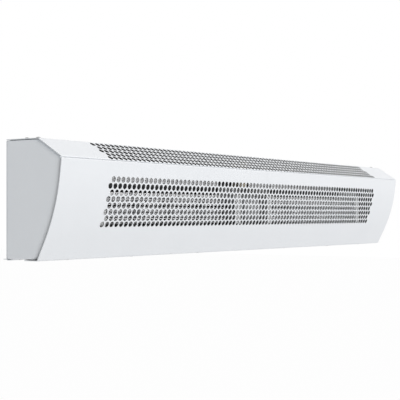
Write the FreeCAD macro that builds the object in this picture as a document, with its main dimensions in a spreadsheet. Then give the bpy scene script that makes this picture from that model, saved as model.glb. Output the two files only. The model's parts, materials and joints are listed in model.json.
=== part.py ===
import FreeCAD, Part
import Sketcher

import math
import os

from FreeCAD import Placement, Rotation, Vector

# Wall-hung air curtain with two cross-flow wheels on one motor.
# X runs along the casing, Y points into the wall, Z is up.
# The origin lies on the wall, in the middle of the four wall screws.

doc = FreeCAD.newDocument("air_curtain")
dims = doc.addObject("Spreadsheet::Sheet", "dims")

SIZES = {
    # Casing, measured from its rear plane and its lower edge
    "casing_length": 1000,
    "casing_height": 152,
    "wall_gap": 5,
    "sheet": 1.0,
    "fit_gap": 0.2,
    "top_depth": 54,
    "brow_depth": 92.5,
    "brow_drop": 24,
    "knee_depth": 85.5,
    "knee_height": 65,
    "front_radius": 250,
    "foot_depth": 52.5,
    "lip_depth": 22,
    "fold_radius": 2.5,
    "seam": 0.6,
    "seam_radius": 1.2,
    "hem_back": 7,
    "hem_drop": 3.2,
    "cap_flange": 18,
    "cap_radius": 3,
    "cap_corner": 5,
    "rear_flange": 25,
    "rear_lip": 4,
    "stop_width": 7,
    # Perforation, round holes on a staggered grid
    "hole_diameter": 8,
    "hole_pitch": 10,
    "hole_columns": 81,
    "front_rows": 8,
    "front_margin": 24.8,
    "brow_rows": 5,
    "brow_margin": 5,
    "hole_shift": 2.3,
    # Wall brackets
    "bracket_spacing": 600,
    "bracket_width": 40,
    "bracket_height": 100,
    "bracket_sheet": 2.5,
    "bracket_bolt_spacing": 70,
    "bracket_bolt_diameter": 6.5,
    "hook_rise": 8,
    "hook_height": 42.5,
    # Wheels and the plates beside them
    "fan_back": 38,
    "fan_rise": 66,
    "wheel_diameter": 46,
    "wheel_length": 328,
    "wheel_cells": 4,
    "ring_inner": 29,
    "ring_sheet": 1.0,
    "blade_count": 24,
    "blade_centre": 19,
    "blade_drop": 4.5,
    "blade_curve": 4,
    "blade_start": 30,
    "blade_end": 150,
    "blade_sheet": 0.6,
    "motor_bay": 104,
    "plate_gap": 3,
    "plate_sheet": 1.2,
    "plate_front": 70,
    "plate_nose": 14,
    "plate_top": 101,
    "plate_shoulder": 10,
    "plate_foot": 8,
    "plate_flange": 10,
    "plate_opening": 15,
    # Air guides
    "scroll_sheet": 0.8,
    "scroll_gap": 7,
    "scroll_sweep": 62,
    "scroll_lip": 20,
    "vortex_gap": 2.5,
    "vortex_angle": 45,
    "vortex_nose": 8,
    "nose_drop": 2.7,
    "vortex_wall_height": 20,
    "guard_rise": 8,
    "guard_sheet": 1.0,
    "guard_cell": 20,
    "guard_bar": 1.6,
    # Shaft, bearings and motor
    "shaft_diameter": 6,
    "running_gap": 0.05,
    "hub_diameter": 20,
    "hub_length": 14,
    "axle_length": 26,
    "axle_boss": 10,
    "bush_diameter": 12,
    "bush_length": 5,
    "seat_diameter": 22,
    "seat_length": 5,
    "motor_diameter": 54,
    "motor_stack": 34,
    "shield_length": 8,
    "shield_boss": 22,
    "boss_length": 6,
    "air_gap": 0.4,
    "core_diameter": 30,
    "ring_diameter": 30,
    "cradle_sheet": 1.5,
    "cradle_height": 50,
    "cradle_reach": 20,
    "cradle_screws": 36,
    # Heating
    "tube_diameter": 6.5,
    "tube_spacing": 13,
    "heater_back": 22,
    "heater_low": 17,
    "heater_high": 30,
    "heater_tail": 14,
    "bend_margin": 12,
    "bush_wall": 2.5,
    "bush_overhang": 3,
    "stud_diameter": 3.5,
    "stud_length": 14,
    "cutout_diameter": 15,
    "cutout_length": 9,
    "cutout_cap": 10.5,
    "cutout_rise": 46,
    # Electrics
    "capacitor_length": 20,
    "capacitor_depth": 18,
    "capacitor_height": 44,
    "capacitor_start": 26,
    "capacitor_rise": 102.5,
    "block_length": 66,
    "block_depth": 20,
    "block_height": 22,
    "block_rise": 76,
    "block_poles": 6,
    "well_depth": 10,
    "well_height": 11,
    "well_wall": 1,
    "relay_length": 44,
    "relay_depth": 28,
    "relay_height": 30,
    "electrics_inset": 100,
    "gland_diameter": 16,
    "gland_bore": 9,
    "gland_flats": 20,
    "collar_length": 5.4,
    "dome_length": 8,
    "thread_length": 8,
    "locknut_length": 4,
    "gland_back": 34,
    "gland_rise": 104,
    # Screws
    "screw_diameter": 3,
    "head_diameter": 6,
    "head_height": 2.2,
    "low_head_height": 0.8,
    "screw_length": 8,
    "screw_inset": 12,
    "top_screw_front": 48,
    "top_screw_rear": 29,
    "lip_screw_back": 13,
}

for row, (alias, value) in enumerate(SIZES.items(), start=1):
    dims.set(f"A{row}", alias)
    dims.set(f"B{row}", str(value))
    dims.setAlias(f"B{row}", alias)
doc.recompute()

SIDES = (("left", -1), ("right", 1))
ACROSS = Rotation(Vector(0, 1, 0), Vector(0, 0, 1), Vector(1, 0, 0), "XYZ")
AIM = {
    "+X": Rotation(Vector(0, 1, 0), 90),
    "-X": Rotation(Vector(0, 1, 0), -90),
    "+Y": Rotation(Vector(1, 0, 0), -90),
    "-Y": Rotation(Vector(1, 0, 0), 90),
    "+Z": Rotation(),
    "-Z": Rotation(Vector(1, 0, 0), 180),
}

# Places that several pieces share
END = "(dims.casing_length / 2)"
TOP = "(dims.casing_height / 2)"
FLOOR = "(-dims.casing_height / 2)"
REAR = "(-dims.wall_gap)"
REAR_IN = f"({REAR} - dims.sheet)"
BROW_Y = f"({REAR} - dims.brow_depth)"
BROW_Z = f"({TOP} - dims.brow_drop)"
FOOT_Y = f"({REAR} - dims.foot_depth)"
LIP_Y = f"({FOOT_Y} + dims.lip_depth)"
KNEE = (f"{REAR} - dims.knee_depth", f"{FLOOR} + dims.knee_height", "dims.front_radius")
FAN_Y = "(-dims.fan_back)"
FAN_Z = f"({FLOOR} + dims.fan_rise)"
WHEEL_IN = "(dims.motor_bay / 2)"
WHEEL_OUT = f"({WHEEL_IN} + dims.wheel_length)"
INNER_PLATE = f"({WHEEL_IN} - dims.plate_gap)"
OUTER_PLATE = f"({WHEEL_OUT} + dims.plate_gap)"
SCROLL_R = "(dims.wheel_diameter / 2 + dims.scroll_gap)"
SCROLL_Y = f"({FAN_Y} + {SCROLL_R})"
VORTEX_R = "(dims.wheel_diameter / 2 + dims.vortex_gap)"
BOSS_END = "(dims.motor_stack / 2 + dims.shield_length + dims.boss_length)"
SCREW_HOLE = "(dims.screw_diameter / 2 + dims.fit_gap / 2)"
SCREW_TOOL = "(dims.screw_length + 2 * dims.sheet)"
GLAND_Y = "(-dims.gland_back)"
GLAND_Z = f"({FLOOR} + dims.gland_rise)"

nodes = []


def num(expression):
    """The present value of an expression over the sheet."""
    return float(dims.evalExpression(expression))


SIZES_NOW = {alias: num(f"dims.{alias}") for alias in SIZES}
ROW_STEP = SIZES_NOW["hole_pitch"] * math.sqrt(3) / 2
WIDE = int(SIZES_NOW["hole_columns"])


def keep(obj, label):
    """Marks an object as a finished piece under its own name."""
    obj.Label = label
    nodes.append(obj)
    return obj


def bind(obj, **sizes):
    for name, expression in sizes.items():
        obj.setExpression(name, expression)
    return obj


def place(obj, x="0", y="0", z="0", turn=None):
    obj.Placement = Placement(Vector(num(x), num(y), num(z)), turn or Rotation())
    for axis, expression in zip("xyz", (x, y, z)):
        obj.setExpression(f"Placement.Base.{axis}", expression)
    return obj


def pin(sketch, geometry, point, u, v):
    """Ties one point of a sketch to two expressions."""
    for kind, expression in (("DistanceX", u), ("DistanceY", v)):
        index = sketch.addConstraint(
            Sketcher.Constraint(kind, -1, 1, geometry, point, num(expression))
        )
        sketch.setExpression(f"Constraints[{index}]", expression)


def trace(sketch, corners, closed):
    """Draws straight runs through the corners; a third entry rounds a corner by that radius."""
    spots = [Vector(num(c[0]), num(c[1]), 0) for c in corners]
    count = len(corners)
    starts, ends, arcs = {}, {}, {}
    for i, corner in enumerate(corners):
        if len(corner) == 2:
            continue
        into = (spots[i] - spots[i - 1]).normalize()
        out = (spots[(i + 1) % count] - spots[i]).normalize()
        turn = into.getAngle(out)
        radius = num(corner[2])
        reach = radius * math.tan(turn / 2)
        ends[i], starts[i] = spots[i] - into * reach, spots[i] + out * reach
        left = into.cross(out).z > 0
        centre = ends[i] + Vector(-into.y, into.x, 0) * (radius if left else -radius)
        first, last = (ends[i], starts[i]) if left else (starts[i], ends[i])
        angles = [math.atan2(p.y - centre.y, p.x - centre.x) for p in (first, last)]
        arcs[i] = (Part.ArcOfCircle(Part.Circle(centre, Vector(0, 0, 1), radius), *angles), left)
    runs = count if closed else count - 1
    lines = []
    for i in range(runs):
        j = (i + 1) % count
        line = Part.LineSegment(starts.get(i, spots[i]), ends.get(j, spots[j]))
        lines.append(sketch.addGeometry(line))
    for i, corner in enumerate(corners):
        before = lines[i - 1] if closed or i > 0 else None
        after = lines[i] if i < runs else None
        if i in arcs:
            arc, left = arcs[i]
            bend = sketch.addGeometry(arc)
            point = sketch.addGeometry(Part.Point(spots[i]), True)
            first, last = (1, 2) if left else (2, 1)
            sketch.addConstraint(Sketcher.Constraint("Tangent", before, 2, bend, first))
            sketch.addConstraint(Sketcher.Constraint("Tangent", bend, last, after, 1))
            sketch.addConstraint(Sketcher.Constraint("PointOnObject", point, 1, before))
            sketch.addConstraint(Sketcher.Constraint("PointOnObject", point, 1, after))
            index = sketch.addConstraint(Sketcher.Constraint("Radius", bend, num(corner[2])))
            sketch.setExpression(f"Constraints[{index}]", corner[2])
            pin(sketch, point, 1, *corner[:2])
        elif after is None:
            pin(sketch, before, 2, *corner)
        else:
            if before is not None:
                sketch.addConstraint(Sketcher.Constraint("Coincident", before, 2, after, 1))
            pin(sketch, after, 1, *corner)


def ring(sketch, radius, u="0", v="0"):
    """Draws a circle tied to its radius and centre."""
    circle = Part.Circle(Vector(num(u), num(v), 0), Vector(0, 0, 1), num(radius))
    geometry = sketch.addGeometry(circle)
    index = sketch.addConstraint(Sketcher.Constraint("Radius", geometry, num(radius)))
    sketch.setExpression(f"Constraints[{index}]", radius)
    pin(sketch, geometry, 3, u, v)


def section(name, corners, x, closed=False):
    """A sketch across the casing at one X, with Y to its right and Z up."""
    sketch = doc.addObject("Sketcher::SketchObject", name)
    trace(sketch, corners, closed)
    return place(sketch, x=x, turn=ACROSS)


def extrude(name, profile, length):
    run = doc.addObject("Part::Extrusion", name)
    run.Base = profile
    run.DirMode = "Custom"
    run.Dir = Vector(1, 0, 0)
    run.Solid = True
    return bind(run, LengthFwd=length)


def offset(name, source, value):
    skin = doc.addObject("Part::Offset2D", name)
    skin.Source = source
    skin.Join = "Intersection"
    return bind(skin, Value=value)


def bent_sheet(name, corners, x, length, thickness):
    """A sheet folded along X: its section is one line of bends, thickened to one side."""
    line = section(f"{name}_line", corners, x)
    skin = offset(f"{name}_section", line, thickness)
    skin.Mode = "Skin"
    skin.Fill = True
    return extrude(f"{name}_blank", skin, length)


def rod(name, radius, length, x, y, z, aim):
    part = doc.addObject("Part::Cylinder", name)
    bind(part, Radius=radius, Height=length)
    return place(part, x, y, z, AIM[aim])


def block(name, length, depth, height, x, y, z):
    part = doc.addObject("Part::Box", name)
    bind(part, Length=length, Width=depth, Height=height)
    return place(part, x, y, z)


def group(name, parts):
    bundle = doc.addObject("Part::Compound", name)
    bundle.Links = parts
    return bundle


def cut(name, base, tools):
    result = doc.addObject("Part::Cut", name)
    result.Base = base
    result.Tool = tools[0] if len(tools) == 1 else group(f"{name}_tools", tools)
    return result


def fuse(name, parts):
    result = doc.addObject("Part::MultiFuse", name)
    result.Shapes = parts
    return result


def origin_plane(body, role):
    return next(f for f in body.Origin.OriginFeatures if f.Role == role)


def sketch_in(body, name, role, depth="0"):
    sketch = body.newObject("Sketcher::SketchObject", name)
    sketch.AttachmentSupport = [(origin_plane(body, role), "")]
    sketch.MapMode = "FlatFace"
    return bind(sketch, **{"AttachmentOffset.Base.z": depth})


def pad(body, sketch, length, name):
    feature = body.newObject("PartDesign::Pad", name)
    feature.Profile = sketch
    return bind(feature, Length=length)


def turned(label, corners, x="0", y=FAN_Y, z=FAN_Z):
    """A piece turned about an axis along X, from its half section (x, radius)."""
    body = doc.addObject("PartDesign::Body", label)
    sketch = sketch_in(body, f"{label}_half", "XY_Plane")
    trace(sketch, corners, True)
    spin = body.newObject("PartDesign::Revolution", f"{label}_turn")
    spin.Profile = sketch
    spin.ReferenceAxis = (sketch, ["H_Axis"])
    spin.Angle = 360
    place(body, x, y, z)
    return keep(body, label)


def sleeve(label, inner, outer, start, end, **where):
    corners = [(start, inner), (end, inner), (end, outer), (start, outer)]
    return turned(label, corners, **where)


def screw(name, x, y, z, aim, rise):
    """A screw whose head sits on the given point and whose shank runs along aim."""
    head_aim = {"+": "-", "-": "+"}[aim[0]] + aim[1]
    head = rod(f"{name}_head", "dims.head_diameter / 2", rise, x, y, z, head_aim)
    shank = rod(f"{name}_shank", "dims.screw_diameter / 2", "dims.screw_length", x, y, z, aim)
    return fuse(name, [head, shank])


def screw_holes(name, spots, aim, start):
    """Clearance holes for a row of screws, started a little outside the sheet."""
    tools = []
    for i, (x, y, z) in enumerate(spots):
        spot = [f"{v} + {s}" for v, s in zip((x, y, z), start)]
        tools.append(rod(f"{name}_{i}", SCREW_HOLE, SCREW_TOOL, *spot, aim))
    return tools


# Outline of the casing, as the end caps fill it
OUTLINE = [
    (REAR, FLOOR),
    (REAR, TOP),
    (f"{REAR} - dims.top_depth", TOP, "dims.cap_corner"),
    (BROW_Y, BROW_Z, "dims.cap_corner"),
    KNEE,
    (FOOT_Y, FLOOR, "dims.cap_corner"),
]


def end_prism(name, inset, x, length):
    outline = section(f"{name}_outline", OUTLINE, x, closed=True)
    face = offset(f"{name}_face", outline, f"-({inset})")
    face.Fill = False
    return extrude(f"{name}_prism", face, length)


def end_spaces(name):
    """The room that the two end caps take out of the folds of a panel."""
    inset = "dims.sheet + dims.fit_gap / 2"
    length = "dims.cap_flange + dims.fit_gap + dims.sheet"
    starts = {-1: f"-{END} - dims.sheet", 1: f"{END} - dims.cap_flange - dims.fit_gap"}
    return [end_prism(f"{name}_{side}", inset, starts[sign], length) for side, sign in SIDES]


# Screw places
TOP_SCREWS = [
    (f"{sign} * ({END} - dims.screw_inset)", f"-dims.{row}", TOP)
    for side, sign in SIDES
    for row in ("top_screw_front", "top_screw_rear")
]
LIP_SCREWS = [
    (f"{sign} * {x}", f"{FOOT_Y} + dims.lip_screw_back", FLOOR)
    for side, sign in SIDES
    for x in (
        f"({OUTER_PLATE} + {END} - dims.cap_flange) / 2",
        f"({WHEEL_OUT} - dims.wheel_length / 4)",
        f"({WHEEL_IN} + dims.wheel_length / 4)",
    )
]
CAP_SCREW_X = f"({END} - dims.screw_inset)"
INNER_SCREW_X = f"({INNER_PLATE} - dims.plate_sheet - dims.plate_flange / 2)"
OUTER_SCREW_X = f"({OUTER_PLATE} + dims.plate_sheet + dims.plate_flange / 2)"
CRADLE_SCREW_X = f"({BOSS_END} / 2)"
PLATE_SCREW_Z = (
    f"{FAN_Z} + dims.wheel_diameter / 2",
    f"{FLOOR} + (dims.heater_low + dims.heater_high) / 2",
)
CRADLE_SCREW_Z = tuple(f"{FAN_Z} {way} dims.cradle_screws / 2" for way in "+-")
CAP_SCREWS, INNER_SCREWS, OUTER_SCREWS, CRADLE_SCREWS = (
    [(f"{sign} * {x}", REAR, z) for side, sign in SIDES for z in heights]
    for x, heights in (
        (CAP_SCREW_X, (f"{TOP} / 2", f"{FLOOR} / 2")),
        (INNER_SCREW_X, PLATE_SCREW_Z),
        (OUTER_SCREW_X, PLATE_SCREW_Z),
        (CRADLE_SCREW_X, CRADLE_SCREW_Z),
    )
)
DOWN = ("0", "0", "dims.sheet")
UP = ("0", "0", "-dims.sheet")
FORWARD = ("0", "dims.sheet", "0")


# Perforation tools
def punch(x, spot, aim):
    start = Vector(x, spot.y, spot.z) - aim * SIZES_NOW["sheet"] * 2
    return Part.makeCylinder(SIZES_NOW["hole_diameter"] / 2, SIZES_NOW["sheet"] * 4, start, aim)


def punch_row(spot, aim, columns):
    """One row of holes, a little left of the casing's middle."""
    pitch = SIZES_NOW["hole_pitch"]
    first = -(columns - 1) / 2 * pitch - SIZES_NOW["hole_shift"]
    return [punch(first + i * pitch, spot, aim) for i in range(columns)]


def punches(name, rows):
    tool = doc.addObject("Part::Feature", name)
    tool.Shape = Part.makeCompound([cylinder for row in rows for cylinder in row])
    return tool


def front_rows():
    """Rows along the front, from the seam down: straight, then round the big bend, then straight."""
    top = Vector(0, num(BROW_Y), num(BROW_Z))
    knee = Vector(0, num(KNEE[0]), num(KNEE[1]))
    foot = Vector(0, num(FOOT_Y), num(FLOOR))
    upper, lower = (knee - top).normalize(), (foot - knee).normalize()
    radius = SIZES_NOW["front_radius"]
    bend = upper.getAngle(lower)
    straight = (knee - top).Length - radius * math.tan(bend / 2)
    centre = top + upper * straight + Vector(0, -upper.z, upper.y) * radius
    rows = []
    for i in range(int(SIZES_NOW["front_rows"])):
        run = SIZES_NOW["front_margin"] + i * ROW_STEP
        turn = min(max((run - straight) / radius, 0), bend)
        along = Vector(0, upper.y * math.cos(turn) - upper.z * math.sin(turn),
                       upper.z * math.cos(turn) + upper.y * math.sin(turn))
        outward = Vector(0, along.z, -along.y)
        spot = centre + outward * radius
        spot += along * (run - straight - turn * radius)
        rows.append(punch_row(spot, outward, WIDE - 1 + i % 2))
    return rows


def brow_rows():
    """Rows up the sloped brow, from the seam to the flat top."""
    low = Vector(0, num(BROW_Y), num(BROW_Z))
    high = Vector(0, num(f"{REAR} - dims.top_depth"), num(TOP))
    along = (high - low).normalize()
    outward = Vector(0, -along.z, along.y)
    rows = []
    for i in range(int(SIZES_NOW["brow_rows"])):
        spot = low + along * (SIZES_NOW["brow_margin"] + i * ROW_STEP)
        rows.append(punch_row(spot, outward, WIDE - i % 2))
    return rows


# Casing panels
def top_cover():
    line = [
        (REAR, TOP),
        (f"{REAR} - dims.top_depth", TOP, "dims.fold_radius"),
        (BROW_Y, f"{BROW_Z} + dims.seam / 2", "dims.seam_radius"),
        (f"{BROW_Y} + dims.hem_back", f"{BROW_Z} + dims.seam / 2 - dims.hem_drop"),
    ]
    blank = bent_sheet("top_cover", line, f"-{END}", "dims.casing_length", "-dims.sheet")
    tools = end_spaces("top_cover_end") + screw_holes("top_cover_hole", TOP_SCREWS, "-Z", DOWN)
    tools.append(punches("brow_punches", brow_rows()))
    keep(cut("top_cover", blank, tools), "top_cover")


def front_panel():
    line = [
        (f"{BROW_Y} + dims.hem_back", f"{BROW_Z} - dims.seam / 2 - dims.hem_drop"),
        (BROW_Y, f"{BROW_Z} - dims.seam / 2", "dims.seam_radius"),
        KNEE,
        (FOOT_Y, FLOOR, "dims.fold_radius"),
        (LIP_Y, FLOOR),
    ]
    blank = bent_sheet("front_panel", line, f"-{END}", "dims.casing_length", "-dims.sheet")
    tools = end_spaces("front_panel_end") + screw_holes("front_panel_hole", LIP_SCREWS, "+Z", UP)
    tools.append(punches("front_punches", front_rows()))
    keep(cut("front_panel", blank, tools), "front_panel")


def rear_panel():
    flange_z = f"{TOP} - dims.sheet - dims.fit_gap"
    line = [
        (f"{REAR} - dims.rear_flange", flange_z),
        (REAR, flange_z, "dims.fold_radius"),
        (REAR, FLOOR, "dims.fold_radius"),
        (f"{REAR} - dims.rear_lip", FLOOR),
    ]
    blank = bent_sheet("rear_panel", line, f"-{END}", "dims.casing_length", "dims.sheet")
    screws = CAP_SCREWS + INNER_SCREWS + OUTER_SCREWS + CRADLE_SCREWS
    tools = end_spaces("rear_panel_end") + screw_holes("rear_panel_hole", screws, "-Y", FORWARD)
    for side, sign in SIDES:
        tools.append(block(
            f"rear_panel_{side}_slot",
            "dims.bracket_width + 2 * dims.fit_gap",
            "4 * dims.sheet",
            "2 * dims.bracket_sheet",
            f"{sign} * dims.bracket_spacing / 2 - dims.bracket_width / 2 - dims.fit_gap",
            f"{REAR} - 3 * dims.sheet",
            "dims.hook_height - 2 * dims.bracket_sheet",
        ))
    sheet = cut("rear_panel_sheet", blank, tools)
    stops = [
        block(f"rear_panel_{side}_stop", "dims.stop_width", "dims.wall_gap + dims.sheet", "dims.sheet",
              f"{sign} * ({END} - dims.stop_width / 2) - dims.stop_width / 2", REAR_IN,
              f"{FLOOR} + dims.sheet")
        for side, sign in SIDES
    ]
    keep(fuse("rear_panel", [sheet] + stops), "rear_panel")


def end_cap(side, sign):
    """A pan pushed into the end of the casing, with its rim turned inwards."""
    name = f"{side}_end_cap"
    x = f"-{END}" if sign < 0 else f"{END} - dims.cap_flange"
    prism = end_prism(name, "dims.sheet + dims.fit_gap", x, "dims.cap_flange")
    doc.recompute()
    outer, inner = sign * num(END), sign * num(f"{END} - dims.cap_flange")
    rim = [
        i for i, edge in enumerate(prism.Shape.Edges, 1)
        if all(math.isclose(v.X, outer) for v in edge.Vertexes)
    ]
    rounded = doc.addObject("Part::Fillet", f"{name}_rounded")
    rounded.Base = prism
    radius = SIZES_NOW["cap_radius"]
    rounded.Edges = [(i, radius, radius) for i in rim]
    doc.recompute()
    mouth = [
        f"Face{i}" for i, face in enumerate(rounded.Shape.Faces, 1)
        if all(math.isclose(v.X, inner) for v in face.Vertexes)
    ]
    pan = doc.addObject("Part::Thickness", f"{name}_pan")
    pan.Faces = (rounded, mouth)
    bind(pan, Value="-dims.sheet")
    tools = screw_holes(f"{name}_top", TOP_SCREWS, "-Z", DOWN)
    tools += screw_holes(f"{name}_rear", CAP_SCREWS, "-Y", FORWARD)
    if sign > 0:
        entry = "dims.gland_diameter / 2 + dims.fit_gap"
        start = f"{END} - 2 * dims.sheet"
        tools.append(rod(f"{name}_entry", entry, "4 * dims.sheet", start, GLAND_Y, GLAND_Z, "+X"))
    keep(cut(name, pan, tools), name)


def floor_plate(side, sign):
    """Closes the underside between the air outlet and one end."""
    name = f"{side}_floor_plate"
    front, rear = f"{FOOT_Y} + dims.plate_foot", f"{REAR_IN} - dims.fit_gap"
    low, high = f"{FLOOR} + dims.sheet", f"{FLOOR} + dims.sheet + dims.plate_flange"
    line = [(front, high), (front, low, "dims.fold_radius"), (rear, low, "dims.fold_radius"), (rear, high)]
    start = f"({OUTER_PLATE} + dims.plate_sheet + dims.plate_flange + dims.fit_gap)"
    length = f"({END} - dims.cap_flange - dims.fit_gap - {start})"
    x = start if sign > 0 else f"-{start} - {length}"
    blank = bent_sheet(name, line, x, length, "-dims.sheet")
    keep(cut(name, blank, screw_holes(f"{name}_hole", LIP_SCREWS, "+Z", UP)), name)


def wall_bracket(side, sign):
    """A plate screwed to the wall; the casing hangs on its upturned hook."""
    name = f"{side}_wall_bracket"
    body = doc.addObject("PartDesign::Body", f"{name}_blank")
    sketch = sketch_in(body, f"{name}_side", "YZ_Plane")
    hook_in = f"{REAR_IN} - dims.fit_gap"
    trace(sketch, [
        ("0", "-dims.bracket_height / 2"),
        ("0", "dims.hook_height"),
        (hook_in, "dims.hook_height"),
        (hook_in, "dims.hook_height + dims.hook_rise"),
        (f"{hook_in} - dims.bracket_sheet", "dims.hook_height + dims.hook_rise"),
        (f"{hook_in} - dims.bracket_sheet", "dims.hook_height - dims.bracket_sheet"),
        ("-dims.bracket_sheet", "dims.hook_height - dims.bracket_sheet"),
        ("-dims.bracket_sheet", "-dims.bracket_height / 2"),
    ], True)
    plate = pad(body, sketch, "dims.bracket_width", f"{name}_pad")
    plate.Midplane = True
    x = f"{sign} * dims.bracket_spacing / 2"
    place(body, x)
    holes = [
        rod(f"{name}_{way}", "dims.bracket_bolt_diameter / 2", "3 * dims.bracket_sheet", x,
            "dims.bracket_sheet", f"{rise} * dims.bracket_bolt_spacing / 2", "-Y")
        for way, rise in (("low", -1), ("high", 1))
    ]
    keep(cut(name, body, holes), name)


# Fan plates and air guides
TUBES = [
    (f"(-dims.heater_back + {way} * dims.tube_spacing / 2)", f"({FLOOR} + dims.{rise})")
    for rise in ("heater_low", "heater_high")
    for way in (-1, 1)
]


def fan_plate(side, sign, station):
    """A plate at one end of a wheel, flanged for the rear panel, with a nose turned left at its front."""
    name = f"{side}_{station}_plate"
    outer = station == "outer"
    body = doc.addObject("PartDesign::Body", f"{name}_blank")
    rise = "dims.sheet" if outer else "dims.guard_rise + dims.guard_sheet + dims.fit_gap"
    low = f"{FLOOR} + {rise}"
    high = f"{FLOOR} + dims.plate_top"
    front = "-dims.plate_front"
    reach = "dims.wheel_diameter / 2"
    face = sketch_in(body, f"{name}_face", "YZ_Plane")
    trace(face, [
        (REAR_IN, low, "dims.fold_radius"),
        (f"{FOOT_Y} + dims.plate_foot", low),
        (front, f"{FAN_Z} - {reach}"),
        (front, f"{FAN_Z} + {reach}"),
        (f"{front} + dims.plate_shoulder", high, "dims.plate_shoulder / 2"),
        (REAR_IN, high),
    ], True)
    ring(face, "dims.seat_diameter / 2" if outer else "dims.plate_opening", FAN_Y, FAN_Z)
    if (side, station) != ("left", "outer"):
        wall = "dims.bush_wall" if outer else "dims.fit_gap"
        for y, z in TUBES:
            ring(face, f"dims.tube_diameter / 2 + {wall}", y, z)
    away = sign if outer else -sign
    plate = pad(body, face, "dims.plate_sheet", f"{name}_pad")
    edge = sketch_in(body, f"{name}_edge", "YZ_Plane")
    trace(edge, [
        (REAR_IN, f"{low} + dims.plate_flange"),
        (f"{REAR_IN} - dims.plate_sheet", f"{low} + dims.plate_flange"),
        (f"{REAR_IN} - dims.plate_sheet", high),
        (REAR_IN, high),
    ], True)
    flange = pad(body, edge, "dims.plate_sheet + dims.plate_flange", f"{name}_flange")
    plate.Reversed = flange.Reversed = away < 0
    tip = sketch_in(body, f"{name}_tip", "YZ_Plane")
    trace(tip, [
        (front, f"{FAN_Z} - {reach}"),
        (f"{front} + dims.plate_sheet", f"{FAN_Z} - {reach}"),
        (f"{front} + dims.plate_sheet", f"{FAN_Z} + {reach}"),
        (front, f"{FAN_Z} + {reach}"),
    ], True)
    pad(body, tip, "dims.plate_nose", f"{name}_nose").Reversed = True
    place(body, f"{sign} * {OUTER_PLATE if outer else INNER_PLATE}")
    holes = screw_holes(f"{name}_hole", OUTER_SCREWS if outer else INNER_SCREWS, "-Y", FORWARD)
    keep(cut(name, body, holes), name)


def guide(name, line, side, thickness):
    """A folded sheet that fills the space between the two plates of one wheel."""
    x = INNER_PLATE if side == "right" else f"-{OUTER_PLATE}"
    return bent_sheet(name, line, x, f"{OUTER_PLATE} - {INNER_PLATE}", thickness)


def scroll(side):
    """The rear guide: up from the outlet, round the back of the wheel, then a raised lip."""
    reach = f"({SCROLL_R} * tan(dims.scroll_sweep / 2))"
    on = f"({reach} + 2 * dims.fold_radius)"
    lip_y = f"({SCROLL_Y} - {on} * sin(dims.scroll_sweep))"
    lip_z = f"({FAN_Z} + {reach} + {on} * cos(dims.scroll_sweep))"
    line = [
        (SCROLL_Y, f"{FLOOR} + dims.sheet + dims.fit_gap"),
        (SCROLL_Y, f"{FAN_Z} + {reach}", SCROLL_R),
        (lip_y, lip_z, "dims.fold_radius"),
        (lip_y, f"{lip_z} + dims.scroll_lip"),
    ]
    keep(guide(f"{side}_scroll", line, side, "dims.scroll_sheet"), f"{side}_scroll")


def vortex_wall(side):
    """The front guide: a foot on the lip, a wall beside the outlet and a nose close to the wheel."""
    name = f"{side}_vortex_wall"
    low = f"{FLOOR} + dims.sheet"
    nose_y = f"({FAN_Y} - {VORTEX_R} * cos(dims.vortex_angle))"
    nose_z = f"({FAN_Z} - {VORTEX_R} * sin(dims.vortex_angle))"
    line = [
        (f"{FOOT_Y} + dims.plate_foot", low),
        (LIP_Y, low, "dims.fold_radius"),
        (LIP_Y, f"{low} + dims.vortex_wall_height", "2 * dims.fold_radius"),
        (nose_y, nose_z, "dims.fold_radius"),
        (f"{nose_y} - dims.vortex_nose", f"{nose_z} - dims.nose_drop"),
    ]
    blank = guide(name, line, side, "-dims.scroll_sheet")
    keep(cut(name, blank, screw_holes(f"{name}_hole", LIP_SCREWS, "+Z", UP)), name)


def outlet_guard():
    """A punched grid across the air outlet: two rows of cells along the slot."""
    bar, cell = SIZES_NOW["guard_bar"], SIZES_NOW["guard_cell"]
    half = num(f"{OUTER_PLATE} - dims.fit_gap")
    front, rear = num(f"{LIP_Y} + dims.fit_gap"), num(f"{SCROLL_Y} - dims.fit_gap")
    level = num(f"{FLOOR} + dims.guard_rise")
    depth = (rear - front - 3 * bar) / 2
    count = int((2 * half - bar) // cell)
    first = -count * cell / 2 + bar / 2
    outline = Part.makePlane(2 * half, rear - front, Vector(-half, front, level))
    cells = [
        Part.makePlane(cell - bar, depth, Vector(first + i * cell, front + bar + j * (depth + bar), level))
        for i in range(count)
        for j in range(2)
    ]
    face = Part.Face([outline.OuterWire] + [c.OuterWire for c in cells])
    face.validate()
    grid = doc.addObject("Part::Feature", "outlet_guard")
    grid.Shape = face.extrude(Vector(0, 0, SIZES_NOW["guard_sheet"]))
    keep(grid, "outlet_guard")


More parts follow.
